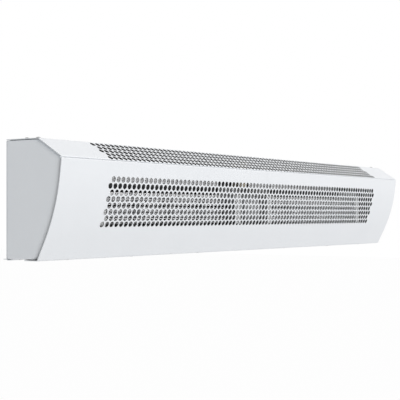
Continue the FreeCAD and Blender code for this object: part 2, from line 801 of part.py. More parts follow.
# Wheels, shaft and motor
def impeller(side, sign):
    """A drum of curved blades held by an end disc at each end and rings between."""
    name = f"{side}_impeller"
    body = doc.addObject("PartDesign::Body", name)
    rim = "dims.wheel_diameter / 2"
    bore = {"in": "dims.hub_diameter / 2", "out": "dims.axle_boss / 2"}
    first, last = ("in", "out") if sign > 0 else ("out", "in")
    disc = sketch_in(body, f"{name}_first", "YZ_Plane")
    ring(disc, rim)
    ring(disc, bore[first])
    pad(body, disc, "dims.ring_sheet", f"{name}_first_disc")
    blade = sketch_in(body, f"{name}_blade", "YZ_Plane")
    draw_blade(blade)
    vane = pad(body, blade, "dims.wheel_length", f"{name}_vane")
    crown = body.newObject("PartDesign::PolarPattern", f"{name}_crown")
    crown.Originals = [vane]
    crown.Axis = (disc, ["N_Axis"])
    crown.Angle = 360
    bind(crown, Occurrences="dims.blade_count")
    body.Tip = crown
    pitch = "((dims.wheel_length - dims.ring_sheet) / dims.wheel_cells)"
    hoop = sketch_in(body, f"{name}_hoop", "YZ_Plane", pitch)
    ring(hoop, rim)
    ring(hoop, "dims.ring_inner / 2")
    rib = pad(body, hoop, "dims.ring_sheet", f"{name}_rib")
    row = body.newObject("PartDesign::LinearPattern", f"{name}_ribs")
    row.Originals = [rib]
    row.Direction = (hoop, ["N_Axis"])
    bind(row, Length=f"{pitch} * (dims.wheel_cells - 2)", Occurrences="dims.wheel_cells - 1")
    body.Tip = row
    end = sketch_in(body, f"{name}_last", "YZ_Plane", "dims.wheel_length - dims.ring_sheet")
    ring(end, rim)
    ring(end, bore[last])
    pad(body, end, "dims.ring_sheet", f"{name}_last_disc")
    place(body, WHEEL_IN if sign > 0 else f"-{WHEEL_OUT}", FAN_Y, FAN_Z)
    keep(body, name)


def draw_blade(sketch):
    """A blade's section: a third of a thin ring whose hollow faces the turn."""
    radii = ["dims.blade_curve + dims.blade_sheet / 2", "dims.blade_curve - dims.blade_sheet / 2"]
    centre = ("dims.blade_centre", "-dims.blade_drop")
    spread = [math.radians(SIZES_NOW[end]) for end in ("blade_start", "blade_end")]
    middle = Vector(num(centre[0]), num(centre[1]), 0)
    arcs = []
    for radius in radii:
        circle = Part.Circle(middle, Vector(0, 0, 1), num(radius))
        arcs.append(sketch.addGeometry(Part.ArcOfCircle(circle, *spread)))
        index = sketch.addConstraint(Sketcher.Constraint("Radius", arcs[-1], num(radius)))
        sketch.setExpression(f"Constraints[{index}]", radius)
        pin(sketch, arcs[-1], 3, *centre)
    for point, angle, alias in zip((1, 2), spread, ("blade_start", "blade_end")):
        way = Vector(math.cos(angle), math.sin(angle), 0)
        tips = [middle + way * num(radius) for radius in radii]
        line = sketch.addGeometry(Part.LineSegment(tips[1], tips[0]))
        sketch.addConstraint(Sketcher.Constraint("Coincident", line, 1, arcs[1], point))
        sketch.addConstraint(Sketcher.Constraint("Coincident", line, 2, arcs[0], point))
        index = sketch.addConstraint(Sketcher.Constraint("Angle", line, angle))
        sketch.setExpression(f"Constraints[{index}]", f"dims.{alias} * 1 deg")
        sketch.addConstraint(Sketcher.Constraint("PointOnObject", arcs[0], 3, line))


def rotor():
    shaft = "dims.shaft_diameter / 2"
    core_half = "(dims.motor_stack / 2 - dims.fold_radius)"
    grip = f"({WHEEL_IN} + dims.hub_length)"
    turned("motor_shaft", [(f"-{grip}", "0"), (grip, "0"), (grip, shaft), (f"-{grip}", shaft)])
    sleeve("rotor_core", shaft, "dims.core_diameter / 2", f"-{core_half}", core_half)
    for side, sign in SIDES:
        impeller(side, sign)
        face = f"{sign} * {WHEEL_IN}"
        inner = f"{sign} * {grip}"
        flange = f"{sign} * ({WHEEL_IN} - dims.plate_gap / 2)"
        turned(f"{side}_hub", [
            (flange, shaft),
            (inner, shaft),
            (inner, "dims.hub_diameter / 2"),
            (face, "dims.hub_diameter / 2"),
            (face, "dims.hub_diameter / 2 + dims.ring_sheet"),
            (flange, "dims.hub_diameter / 2 + dims.ring_sheet"),
        ])
        rim = f"{sign} * {WHEEL_OUT}"
        step = f"{sign} * ({WHEEL_OUT} - dims.axle_boss)"
        tip = f"{sign} * ({WHEEL_OUT} - dims.axle_boss + dims.axle_length)"
        turned(f"{side}_stub_axle", [
            (step, "0"),
            (tip, "0"),
            (tip, shaft),
            (rim, shaft),
            (rim, "dims.axle_boss / 2"),
            (step, "dims.axle_boss / 2"),
        ])


def bearing(side, sign):
    """A plain bush in a rubber seat that grips the outer plate."""
    middle = f"{sign} * ({OUTER_PLATE} + dims.plate_sheet / 2)"
    half, groove = "dims.seat_length / 2", "dims.plate_sheet / 2"
    bush, seat = "dims.bush_diameter / 2", "dims.seat_diameter / 2"
    rim = f"{seat} + dims.bush_wall"
    bore, length = "dims.shaft_diameter / 2 + dims.running_gap", "dims.bush_length / 2"
    sleeve(f"{side}_bearing", bore, bush, f"-{length}", length, x=middle)
    turned(f"{side}_bearing_seat", [
        (f"-{half}", bush),
        (half, bush),
        (half, rim),
        (groove, rim),
        (groove, seat),
        (f"-{groove}", seat),
        (f"-{groove}", rim),
        (f"-{half}", rim),
    ], x=middle)


def motor():
    bore = "dims.shaft_diameter / 2 + dims.running_gap"
    stack, rim, boss = "dims.motor_stack / 2", "dims.motor_diameter / 2", "dims.shield_boss / 2"
    sleeve("motor_stator", "dims.core_diameter / 2 + dims.air_gap", rim, f"-{stack}", stack)
    for side, sign in SIDES:
        near = f"{sign} * ({stack})"
        face = f"{sign} * ({stack} + dims.shield_length)"
        tip = f"{sign} * {BOSS_END}"
        turned(f"{side}_end_shield", [
            (near, bore),
            (tip, bore),
            (tip, boss),
            (face, boss),
            (face, rim, "dims.shield_length / 2"),
            (near, rim),
        ])
        sleeve(f"{side}_motor_ring", boss, "dims.ring_diameter / 2", face, tip)
    cradle()


def cradle():
    """A bent bracket on the rear panel whose two arms hold the motor by its rubber rings."""
    body = doc.addObject("PartDesign::Body", "motor_cradle_blank")
    sketch = sketch_in(body, "motor_cradle_plan", "XY_Plane")
    arm = f"({BOSS_END} - dims.boss_length / 2 + dims.cradle_sheet / 2)"
    inside = f"({arm} - dims.cradle_sheet)"
    tip = f"{FAN_Y} - dims.cradle_reach"
    base = f"{REAR_IN} - dims.cradle_sheet"
    trace(sketch, [
        (f"-{arm}", REAR_IN, "dims.fold_radius"),
        (f"-{arm}", tip),
        (f"-{inside}", tip),
        (f"-{inside}", base),
        (inside, base),
        (inside, tip),
        (arm, tip),
        (arm, REAR_IN, "dims.fold_radius"),
    ], True)
    strip = pad(body, sketch, "dims.cradle_height", "motor_cradle_pad")
    strip.Midplane = True
    place(body, z=FAN_Z)
    ring_half = "dims.ring_diameter / 2"
    eye = rod("motor_cradle_eye", ring_half, f"4 * {arm}", f"-2 * {arm}", FAN_Y, FAN_Z, "+X")
    holes = screw_holes("motor_cradle_hole", CRADLE_SCREWS, "-Y", FORWARD)
    keep(cut("motor_cradle", body, [eye] + holes), "motor_cradle")


# Heating
def heater(label, rise):
    """A hairpin tube: two straight runs and one return bend."""
    z = f"({FLOOR} + dims.{rise})"
    bend = f"(-{OUTER_PLATE} + dims.bend_margin)"
    end = f"({OUTER_PLATE} + dims.plate_sheet + dims.heater_tail)"
    runs = [
        rod(f"{label}_{way}", "dims.tube_diameter / 2", f"{end} - {bend}", bend,
            f"-dims.heater_back + {step} * dims.tube_spacing / 2", z, "+X")
        for way, step in (("front", -1), ("rear", 1))
    ]
    turn = doc.addObject("Part::Torus", f"{label}_bend")
    turn.Angle3 = 180
    bind(turn, Radius1="dims.tube_spacing / 2", Radius2="dims.tube_diameter / 2")
    place(turn, bend, "-dims.heater_back", z, Rotation(Vector(0, 0, 1), 90))
    keep(fuse(label, runs + [turn]), label)


def heater_fittings():
    end = f"({OUTER_PLATE} + dims.plate_sheet + dims.heater_tail)"
    bushes, studs = [], []
    for i, (y, z) in enumerate(TUBES):
        start = f"{OUTER_PLATE} - dims.fit_gap"
        length = "dims.plate_sheet + dims.bush_overhang + dims.fit_gap"
        tube = "dims.tube_diameter / 2"
        outer = rod(f"bush_{i}_outer", f"{tube} + dims.bush_wall", length, start, y, z, "+X")
        through = f"{start} - dims.sheet"
        inner = rod(f"bush_{i}_inner", tube, f"2 * ({length})", through, y, z, "+X")
        bushes.append(cut(f"bush_{i}", outer, [inner]))
        stud = "dims.stud_diameter / 2"
        studs.append(rod(f"stud_{i}", stud, "dims.stud_length", end, y, z, "+X"))
    keep(group("heater_bushes", bushes), "heater_bushes")
    keep(group("heater_terminals", studs), "heater_terminals")


def thermal_cutout():
    length, radius = "dims.cutout_length", "dims.cutout_diameter / 2"
    step, cap = "dims.cutout_length / 2", "dims.cutout_cap / 2"
    spot = (f"{OUTER_PLATE} + dims.plate_sheet", "-dims.heater_back", f"{FLOOR} + dims.cutout_rise")
    line = [("0", "0"), (length, "0"), (length, cap), (step, cap), (step, radius), ("0", radius)]
    turned("thermal_cutout", line, *spot)


# Electrics on the rear panel
def moulding(name, size, x, z):
    """A rounded box standing on the rear panel, with its sizes under one prefix in the sheet."""
    length, depth, height = (f"dims.{size}_{way}" for way in ("length", "depth", "height"))
    body = doc.addObject("PartDesign::Body", name)
    sketch = sketch_in(body, f"{name}_face", "XZ_Plane")
    corners = [("0", "0"), (length, "0"), (length, height), ("0", height)]
    trace(sketch, [(u, v, "dims.fold_radius") for u, v in corners], True)
    pad(body, sketch, depth, f"{name}_pad")
    return place(body, x, REAR_IN, z)


def electrics():
    rise = f"{FLOOR} + dims.capacitor_rise"
    keep(moulding("capacitor", "capacitor", "dims.capacitor_start", rise), "capacitor")
    x = f"({END} - dims.electrics_inset)"
    keep(moulding("relay", "relay", x, f"{FAN_Z} - dims.relay_height"), "relay")
    z = f"({FLOOR} + dims.block_rise)"
    base = moulding("terminal_base", "block", x, z)
    pole = "(dims.block_length / dims.block_poles)"
    width = f"{pole} - 2 * dims.well_wall"
    y = f"{REAR_IN} - dims.block_depth - dims.sheet"
    depth = "dims.well_depth + dims.sheet"
    floor = f"{z} + (dims.block_height - dims.well_height) / 2"
    wells = [
        block(f"terminal_well_{i}", width, depth, "dims.well_height",
              f"{x} + {i} * {pole} + dims.well_wall", y, floor)
        for i in range(int(SIZES_NOW["block_poles"]))
    ]
    keep(cut("terminal_block", base, wells), "terminal_block")


def hexagon(name, flats, height, x):
    part = doc.addObject("Part::Prism", name)
    part.Polygon = 6
    bind(part, Circumradius=f"{flats} / sqrt(3)", Height=height)
    return place(part, x, GLAND_Y, GLAND_Z, AIM["+X"])


def cable_entry():
    """A gland clamped in the right end cap by a nut inside it."""
    thread, bore = "dims.gland_diameter / 2", "dims.gland_bore / 2"
    axis = (GLAND_Y, GLAND_Z, "+X")
    inside = f"({END} - dims.thread_length)"
    collar = hexagon("gland_collar", "dims.gland_flats", "dims.collar_length", END)
    stem = rod("gland_stem", thread, "dims.thread_length + dims.collar_length", inside, *axis)
    dome = doc.addObject("Part::Cone", "gland_dome")
    bind(dome, Radius1=f"{thread} + dims.sheet", Radius2=f"{bore} + dims.sheet")
    bind(dome, Height="dims.dome_length")
    place(dome, f"{END} + dims.collar_length", GLAND_Y, GLAND_Z, AIM["+X"])
    start = f"{END} - 2 * dims.gland_diameter"
    hole = rod("gland_hole", bore, "4 * dims.gland_diameter", start, *axis)
    body = fuse("gland_body", [collar, stem, dome])
    keep(cut("cable_gland", body, [hole]), "cable_gland")
    seat = f"{END} - dims.sheet - dims.locknut_length"
    nut = hexagon("locknut_body", "dims.gland_flats", "dims.locknut_length", seat)
    eye = rod("locknut_eye", thread, "2 * dims.gland_diameter", start, *axis)
    keep(cut("gland_locknut", nut, [eye]), "gland_locknut")


def screws():
    rear = CAP_SCREWS + INNER_SCREWS + OUTER_SCREWS + CRADLE_SCREWS
    for label, spots, aim, rise in (
        ("cover_screws", TOP_SCREWS, "-Z", "dims.head_height"),
        ("lip_screws", LIP_SCREWS, "+Z", "dims.low_head_height"),
        ("rear_screws", rear, "-Y", "dims.head_height"),
    ):
        row = [screw(f"{label}_{i}", *spot, aim, rise) for i, spot in enumerate(spots)]
        keep(group(label, row), label)


top_cover()
front_panel()
rear_panel()
for side, sign in SIDES:
    end_cap(side, sign)
    floor_plate(side, sign)
    wall_bracket(side, sign)
    for station in ("inner", "outer"):
        fan_plate(side, sign, station)
    scroll(side)
    vortex_wall(side)
    bearing(side, sign)
outlet_guard()
rotor()
motor()
heater("lower_heater", "heater_low")
heater("upper_heater", "heater_high")
heater_fittings()
thermal_cutout()
electrics()
cable_entry()
screws()

doc.recompute()

faults = [f"{o.Label}: {o.State}" for o in doc.Objects if {"Invalid", "Error"} & set(o.State)]
for piece in nodes:
    shape = piece.Shape
    if shape.isNull() or not shape.isValid() or not shape.Solids:
        faults.append(f"{piece.Label}: no sound solid")
if faults:
    raise RuntimeError("; ".join(faults))

os.makedirs("parts", exist_ok=True)
for piece in nodes:
    piece.Shape.exportStep(f"parts/{piece.Label}.step")
    print(f"{piece.Label}: {len(piece.Shape.Solids)} solid(s), {piece.Shape.Volume / 1000:.2f} cm3")
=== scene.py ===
# %% [markdown]
# # A wall-hung air curtain
# An air curtain hangs over a doorway and blows a flat sheet of air down through a slot in its underside. This one
# is a long white casing of folded sheet steel: a flat top, a punched slope, a curved punched front, and a pressed
# pan that closes each end. Two long bladed wheels on one motor draw air in through the holes. The lesson starts
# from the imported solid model, which fixes every size and place. All lengths are in metres, X runs along the casing,
# Y points into the wall and Z is up. Values in millimetres are multiplied by MM.

# %% Load the solid model
import json
import math

import bmesh
import bpy
from mathutils import Matrix, Vector


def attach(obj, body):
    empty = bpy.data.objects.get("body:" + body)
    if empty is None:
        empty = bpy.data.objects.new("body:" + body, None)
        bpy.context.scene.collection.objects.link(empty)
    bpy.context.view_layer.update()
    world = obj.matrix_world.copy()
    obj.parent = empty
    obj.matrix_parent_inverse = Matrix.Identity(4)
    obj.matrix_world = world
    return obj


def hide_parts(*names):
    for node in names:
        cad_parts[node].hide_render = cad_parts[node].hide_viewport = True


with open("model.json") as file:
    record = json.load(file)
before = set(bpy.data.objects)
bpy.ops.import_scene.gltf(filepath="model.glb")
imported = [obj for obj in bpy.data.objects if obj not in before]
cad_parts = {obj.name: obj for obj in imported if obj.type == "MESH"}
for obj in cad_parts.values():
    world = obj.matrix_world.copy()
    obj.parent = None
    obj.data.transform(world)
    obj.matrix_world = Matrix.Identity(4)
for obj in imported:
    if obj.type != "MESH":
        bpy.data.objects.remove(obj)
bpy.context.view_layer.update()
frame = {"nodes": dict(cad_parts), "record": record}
nodes = frame["nodes"]
MM = 0.001

# %% [markdown]
# ## Camera
# The photograph was taken with a level camera at about half the casing's height, from in front of its left end. A
# level camera keeps upright edges upright, so the view is moved up with the lens shift and the camera itself isn't
# tilted.

# %% Camera
scene = bpy.context.scene
lens = bpy.data.cameras.new("camera")
lens.sensor_width = 36
lens.lens = 92.43
lens.shift_y = 0.03675
camera = bpy.data.objects.new("camera", lens)
camera.location = (-1.431, -0.9289, -0.0186)
looking = Vector((0.8280, 0.5607, 0))
camera.rotation_euler = looking.to_track_quat("-Z", "Y").to_euler()
scene.collection.objects.link(camera)
scene.camera = camera
scene.view_settings.view_transform = "Standard"
print(f"camera {camera.location.length:.2f} m from the origin")

# %% [markdown]
# ## Node helpers
# Node trees are long to write out one call at a time. Two small helpers keep each material readable: one adds a
# node and sets its sockets by name, the other joins two sockets.

# %% Node helpers
def add(tree, kind, sockets=None, **settings):
    """Adds a node, sets its properties, then sets its input sockets by name or number."""
    node = tree.nodes.new(kind)
    for name, value in settings.items():
        setattr(node, name, value)
    for name, value in (sockets or {}).items():
        if isinstance(value, bpy.types.NodeSocket):
            tree.links.new(value, node.inputs[name])
        else:
            node.inputs[name].default_value = value
    return node


def mix_colour(tree, factor, first, second):
    """Blends two colours by a factor, which is a socket."""
    node = add(tree, "ShaderNodeMix", data_type="RGBA")
    tree.links.new(factor, node.inputs["Factor"])
    for name, colour in (("A", first), ("B", second)):
        socket = next(s for s in node.inputs if s.name == name and s.type == "RGBA")
        socket.default_value = (*colour, 1)
    return next(s for s in node.outputs if s.type == "RGBA")


def spread(tree, value, low, high):
    """Maps a value from 0..1 to low..high."""
    node = add(tree, "ShaderNodeMapRange", {"Value": value, "To Min": low, "To Max": high})
    return node.outputs["Result"]


print("node helpers ready")

# %% [markdown]
# ## Studio
# The photograph has a pure white ground, soft light from the front and above, and a left end in mild, cool shade.
# The world gives the soft part, a little cooler from the side than from above, and one wide sun from the right
# gives the direction. Rays from the camera, and rays that reflect, see plain white, so the background needs no
# extra light. The floor lies well below, since the casing hangs on a wall.

# %% Studio
SKY_STRENGTH, SUN_STRENGTH, SUN_SPREAD = 0.62, 1.65, math.radians(25)
SIDE_TINT, TOP_TINT = (0.88, 0.945, 1.0), (1.0, 0.99, 0.98)
SUN_AIM = Vector((-0.55, 0.70, -0.46))

world = bpy.data.worlds.new("studio")
scene.world = world
world.use_nodes = True
sky = world.node_tree
sky.nodes.clear()
path = add(sky, "ShaderNodeLightPath")
glossy = add(sky, "ShaderNodeMath", {0: path.outputs["Is Glossy Ray"], 1: path.outputs["Is Transmission Ray"]},
             operation="MAXIMUM")
seen = add(sky, "ShaderNodeMath", {0: path.outputs["Is Camera Ray"], 1: glossy.outputs[0]}, operation="MAXIMUM")
way = add(sky, "ShaderNodeSeparateXYZ", {"Vector": add(sky, "ShaderNodeTexCoord").outputs["Generated"]})
above = add(sky, "ShaderNodeMapRange", {"Value": way.outputs["Z"], "From Min": 0.0, "From Max": 0.8})
tint = mix_colour(sky, above.outputs["Result"], SIDE_TINT, TOP_TINT)
soft = add(sky, "ShaderNodeBackground", {"Color": tint, "Strength": SKY_STRENGTH})
white = add(sky, "ShaderNodeBackground", {"Color": (1, 1, 1, 1), "Strength": 1})
both = add(sky, "ShaderNodeMixShader", {0: seen.outputs[0], 1: soft.outputs[0], 2: white.outputs[0]})
add(sky, "ShaderNodeOutputWorld", {"Surface": both.outputs[0]})

sun_data = bpy.data.lights.new("key", "SUN")
sun_data.energy = SUN_STRENGTH
sun_data.color = (1.0, 0.975, 0.97)
sun_data.angle = SUN_SPREAD
sun = bpy.data.objects.new("key", sun_data)
sun.rotation_euler = SUN_AIM.to_track_quat("-Z", "Y").to_euler()
scene.collection.objects.link(sun)
print(f"world {SKY_STRENGTH}, sun {SUN_STRENGTH}")

# %% Floor
FLOOR_Z, FLOOR_HALF = -0.62, 12
# How much of its own light the floor shows to the camera
GLOW_SHARE = 0.94

floor_mesh = bpy.data.meshes.new("floor")
bm = bmesh.new()
bmesh.ops.create_grid(bm, x_segments=1, y_segments=1, size=FLOOR_HALF)
bmesh.ops.translate(bm, verts=bm.verts, vec=(0, 0, FLOOR_Z))
bm.to_mesh(floor_mesh)
bm.free()
floor = bpy.data.objects.new("floor", floor_mesh)
scene.collection.objects.link(floor)
floor_paint = bpy.data.materials.new("floor_paint")
floor_paint.use_nodes = True
tree = floor_paint.node_tree
tree.nodes.clear()
matt = add(tree, "ShaderNodeBsdfDiffuse", {"Color": (0.92, 0.92, 0.92, 1)})
glow = add(tree, "ShaderNodeEmission", {"Color": (1, 1, 1, 1), "Strength": 1})
ray = add(tree, "ShaderNodeLightPath")
share = add(tree, "ShaderNodeMath", {0: ray.outputs["Is Camera Ray"], 1: GLOW_SHARE}, operation="MULTIPLY")
skin = add(tree, "ShaderNodeMixShader", {0: share.outputs[0], 1: matt.outputs[0], 2: glow.outputs[0]})
add(tree, "ShaderNodeOutputMaterial", {"Surface": skin.outputs[0]})
floor_mesh.materials.append(floor_paint)
print(f"floor at z {FLOOR_Z} m")

# %% [markdown]
# ## Surface effects
# Several finishes share the same small effects: the fine pebbling of baked enamel, the crystals in a zinc coat,
# lines from rolling or brushing, and the fine grain of moulded plastic. Each one is a node group, built once, which
# puts out only values; the shader stays in the material. All of them read Object coordinates, so they don't stretch
# on long parts.

# %% Surface effects
def effect(name, inputs, outputs):
    """Starts a shader group with named value inputs and outputs, and returns its tree, input and output nodes."""
    group = bpy.data.node_groups.new(name, "ShaderNodeTree")
    group.interface.new_socket("Vector", in_out="INPUT", socket_type="NodeSocketVector")
    for label, default in inputs.items():
        socket = group.interface.new_socket(label, in_out="INPUT", socket_type="NodeSocketFloat")
        socket.default_value = default
    for label in outputs:
        group.interface.new_socket(label, in_out="OUTPUT", socket_type="NodeSocketFloat")
    return group, group.nodes.new("NodeGroupInput"), group.nodes.new("NodeGroupOutput")


def pebbled_coat():
    """Baked enamel: fine pebbles with a slow mottle under them."""
    group, given, out = effect("pebbled_coat", {"Pebbles per metre": 900}, ("Height", "Mottle"))
    vector = given.outputs["Vector"]
    fine = add(group, "ShaderNodeTexNoise", {"Vector": vector, "Scale": given.outputs[1], "Detail": 2.5})
    slow = add(group, "ShaderNodeTexNoise", {"Vector": vector, "Scale": 14, "Detail": 4, "Roughness": 0.6})
    group.links.new(fine.outputs[0], out.inputs["Height"])
    group.links.new(slow.outputs[0], out.inputs["Mottle"])
    return group


def zinc_crystals():
    """A zinc coat: flat crystals of differing brightness with a trace of relief between them."""
    group, given, out = effect("zinc_crystals", {"Crystals per metre": 110}, ("Shade", "Height"))
    warp = add(group, "ShaderNodeTexNoise", {"Vector": given.outputs["Vector"], "Scale": 60, "Detail": 3})
    bent = add(group, "ShaderNodeVectorMath", {0: warp.outputs["Color"], 1: (0.008, 0.008, 0.008)},
               operation="MULTIPLY")
    spot = add(group, "ShaderNodeVectorMath", {0: given.outputs["Vector"], 1: bent.outputs[0]}, operation="ADD")
    cells = add(group, "ShaderNodeTexVoronoi", {"Vector": spot.outputs[0], "Scale": given.outputs[1]})
    shade = add(group, "ShaderNodeSeparateColor", {"Color": cells.outputs["Color"]})
    group.links.new(shade.outputs[0], out.inputs["Shade"])
    group.links.new(cells.outputs["Distance"], out.inputs["Height"])
    return group


def rolled_lines():
    """Fine lines along X, left by rolling or brushing."""
    group, given, out = effect("rolled_lines", {"Lines per metre": 700, "Stretch": 0.02}, ("Lines",))
    size = add(group, "ShaderNodeCombineXYZ", {"X": given.outputs["Stretch"], "Y": 1.0, "Z": 1.0})
    drawn = add(group, "ShaderNodeVectorMath", {0: given.outputs["Vector"], 1: size.outputs[0]}, operation="MULTIPLY")
    lines = add(group, "ShaderNodeTexNoise",
                {"Vector": drawn.outputs[0], "Scale": given.outputs["Lines per metre"], "Detail": 3})
    group.links.new(lines.outputs[0], out.inputs["Lines"])
    return group


def moulded_grain():
    """Moulded plastic: a fine spark-eroded grain and a slow flow mottle."""
    group, given, out = effect("moulded_grain", {"Grains per metre": 2200}, ("Height", "Mottle"))
    grain = add(group, "ShaderNodeTexVoronoi", {"Vector": given.outputs["Vector"], "Scale": given.outputs[1]})
    slow = add(group, "ShaderNodeTexNoise", {"Vector": given.outputs["Vector"], "Scale": 45, "Detail": 3})
    group.links.new(grain.outputs["Distance"], out.inputs["Height"])
    group.links.new(slow.outputs[0], out.inputs["Mottle"])
    return group


EFFECTS = {make.__name__: make() for make in (pebbled_coat, zinc_crystals, rolled_lines, moulded_grain)}
print("effects:", ", ".join(EFFECTS))

# %% [markdown]
# ## Finishes
# Each finish is one Principled shader. Its constant values are set on the shader's own sockets, and the effects
# only vary colour, roughness and relief a little, as the real surface does.

# %% Finish helper
def finish(name, metallic=0.0):
    """Starts a material and returns it with its tree, its shader and Object coordinates."""
    material = bpy.data.materials.new(name)
    material.use_nodes = True
    tree = material.node_tree
    shader = tree.nodes["Principled BSDF"]
    shader.inputs["Metallic"].default_value = metallic
    place = add(tree, "ShaderNodeTexCoord").outputs["Object"]
    return material, tree, shader, place


def use_effect(tree, name, vector, **values):
    """Places an effect in a material and sets its values by socket name."""
    node = add(tree, "ShaderNodeGroup", node_tree=EFFECTS[name])
    tree.links.new(vector, node.inputs["Vector"])
    for socket, value in values.items():
        node.inputs[socket.replace("_", " ")].default_value = value
    return node


def dress(tree, shader, colour, roughness, height, relief, strength):
    """Joins the varying values to the shader; relief is the depth of the bump in metres."""
    tree.links.new(colour, shader.inputs["Base Color"])
    tree.links.new(roughness, shader.inputs["Roughness"])
    bump = add(tree, "ShaderNodeBump", {"Height": height, "Distance": relief, "Strength": strength})
    tree.links.new(bump.outputs["Normal"], shader.inputs["Normal"])


print("finish helper ready")

# %% Painted finishes
def enamel(name, dark, light, rough, pebbles=900):
    """Baked enamel on sheet steel."""
    material, tree, shader, place = finish(name)
    coat = use_effect(tree, "pebbled_coat", place, Pebbles_per_metre=pebbles)
    colour = mix_colour(tree, coat.outputs["Mottle"], dark, light)
    roughness = spread(tree, coat.outputs["Mottle"], rough - 0.06, rough + 0.06)
    dress(tree, shader, colour, roughness, coat.outputs["Height"], relief=0.00012, strength=0.25)
    return material


FINISHES = {
    "white_enamel": enamel("white_enamel", (0.797, 0.818, 0.841), (0.836, 0.857, 0.879), 0.42),
    "black_enamel": enamel("black_enamel", (0.018, 0.018, 0.02), (0.034, 0.034, 0.036), 0.46),
    "motor_grey": enamel("motor_grey", (0.45, 0.46, 0.47), (0.55, 0.56, 0.57), 0.5, pebbles=600),
    # The dark primer stands for painted shade where the pieces below put it: on the hidden insides of the casing and
    # on the guides' shaded part.
    "dark_primer": enamel("dark_primer", (0.022, 0.023, 0.025), (0.036, 0.037, 0.039), 0.7),
    "pale_enamel": enamel("pale_enamel", (0.80, 0.81, 0.81), (0.86, 0.87, 0.87), 0.5),
}
print("painted:", ", ".join(FINISHES))

# %% Metal finishes
def zinc_sheet():
    """Galvanised sheet with its crystals."""
    material, tree, shader, place = finish("galvanised", metallic=1.0)
    zinc = use_effect(tree, "zinc_crystals", place)
    colour = mix_colour(tree, zinc.outputs["Shade"], (0.60, 0.61, 0.62), (0.80, 0.81, 0.82))
    roughness = spread(tree, zinc.outputs["Shade"], 0.52, 0.38)
    dress(tree, shader, colour, roughness, zinc.outputs["Height"], relief=0.00008, strength=0.2)
    return material


def lined_metal(name, dark, light, rough, lines=700.0, stretch=0.02):
    """Bright metal with the fine lines of rolling, turning or brushing."""
    material, tree, shader, place = finish(name, metallic=1.0)
    roll = use_effect(tree, "rolled_lines", place, Lines_per_metre=lines, Stretch=stretch)
    colour = mix_colour(tree, roll.outputs["Lines"], dark, light)
    roughness = spread(tree, roll.outputs["Lines"], rough - 0.08, rough + 0.08)
    dress(tree, shader, colour, roughness, roll.outputs["Lines"], relief=0.00004, strength=0.2)
    return material


FINISHES["galvanised"] = zinc_sheet()
FINISHES["zinc_steel"] = lined_metal("zinc_steel", (0.20, 0.20, 0.196), (0.36, 0.36, 0.352), 0.28, 1500, 0.6)
FINISHES["aluminium"] = lined_metal("aluminium", (0.84, 0.85, 0.86), (0.92, 0.92, 0.93), 0.36)
FINISHES["bronze"] = lined_metal("bronze", (0.42, 0.27, 0.13), (0.60, 0.41, 0.21), 0.42, 1500, 0.8)
FINISHES["heater_steel"] = lined_metal("heater_steel", (0.20, 0.19, 0.18), (0.36, 0.34, 0.32), 0.45, 900, 0.2)
# Bare cut steel for the walls of the holes, darker than the white paint, so that it also paints shade into the holes.
FINISHES["cut_steel_and_shade"] = lined_metal("cut_steel_and_shade", (0.38, 0.38, 0.38), (0.50, 0.50, 0.50), 0.55, 1500, 0.6)
print(f"{len(FINISHES)} finishes with the metals")

# %% Moulded finishes
def moulded(name, dark, light, rough, grains=2200):
    """Moulded plastic, rubber or ceramic."""
    material, tree, shader, place = finish(name)
    grain = use_effect(tree, "moulded_grain", place, Grains_per_metre=grains)
    colour = mix_colour(tree, grain.outputs["Mottle"], dark, light)
    roughness = spread(tree, grain.outputs["Mottle"], rough - 0.05, rough + 0.07)
    dress(tree, shader, colour, roughness, grain.outputs["Height"], relief=0.00005, strength=0.2)
    return material


FINISHES["rubber"] = moulded("rubber", (0.018, 0.018, 0.018), (0.032, 0.032, 0.032), 0.72, 1600)
FINISHES["ceramic"] = moulded("ceramic", (0.80, 0.78, 0.71), (0.88, 0.86, 0.80), 0.3, 900)
FINISHES["black_plastic"] = moulded("black_plastic", (0.022, 0.022, 0.023), (0.036, 0.036, 0.037), 0.45)
FINISHES["cream_plastic"] = moulded("cream_plastic", (0.72, 0.65, 0.50), (0.80, 0.74, 0.60), 0.42)
FINISHES["grey_plastic"] = moulded("grey_plastic", (0.46, 0.47, 0.48), (0.54, 0.55, 0.56), 0.45)
print(f"{len(FINISHES)} finishes in all")

# %% [markdown]
# ## Dressing the solids
# The record names one material slot for each solid. Every solid gets the finish of its slot. The pieces made
# further on replace some of these solids and take the same finish.

# %% Dress the solids
SLOTS = {entry["node"]: entry["material_slot"] for entry in frame["record"]["subparts"]}
for name, node in nodes.items():
    node.data.materials.clear()
    node.data.materials.append(FINISHES[SLOTS[name]])
print(f"{len(SLOTS)} solids dressed")

# %% [markdown]
# ## Folded and punched sheet
# The front and the top cover are sheets that were punched flat and then folded. The lesson makes them in the same
# order. First a flat sheet is built around a field of round holes, each hole in the middle of its own hexagon,
# because hexagons tile a staggered grid without gaps. The flat sheet is scored along its bends, every point is
# carried onto the folded section, and at last the sheet gets its thickness. A Boolean with a thousand cutters would
# leave long slivers, and the tiled field keeps clean quads. The outside and the outer edges are painted white. The
# inside gets a near-black primer, which is painted shade that darkens the inside of the casing, and the walls of the
# holes are bare cut steel, darker than the paint, which also paints shade into the holes.

# %% The casing's section
# The least number of steps in a bend, the length of a step in a wide one, and how far beside a bend a line keeps the
# flat sheet flat
BEND_STEPS, BEND_STEP, BESIDE_BEND = 5, 5, 0.8


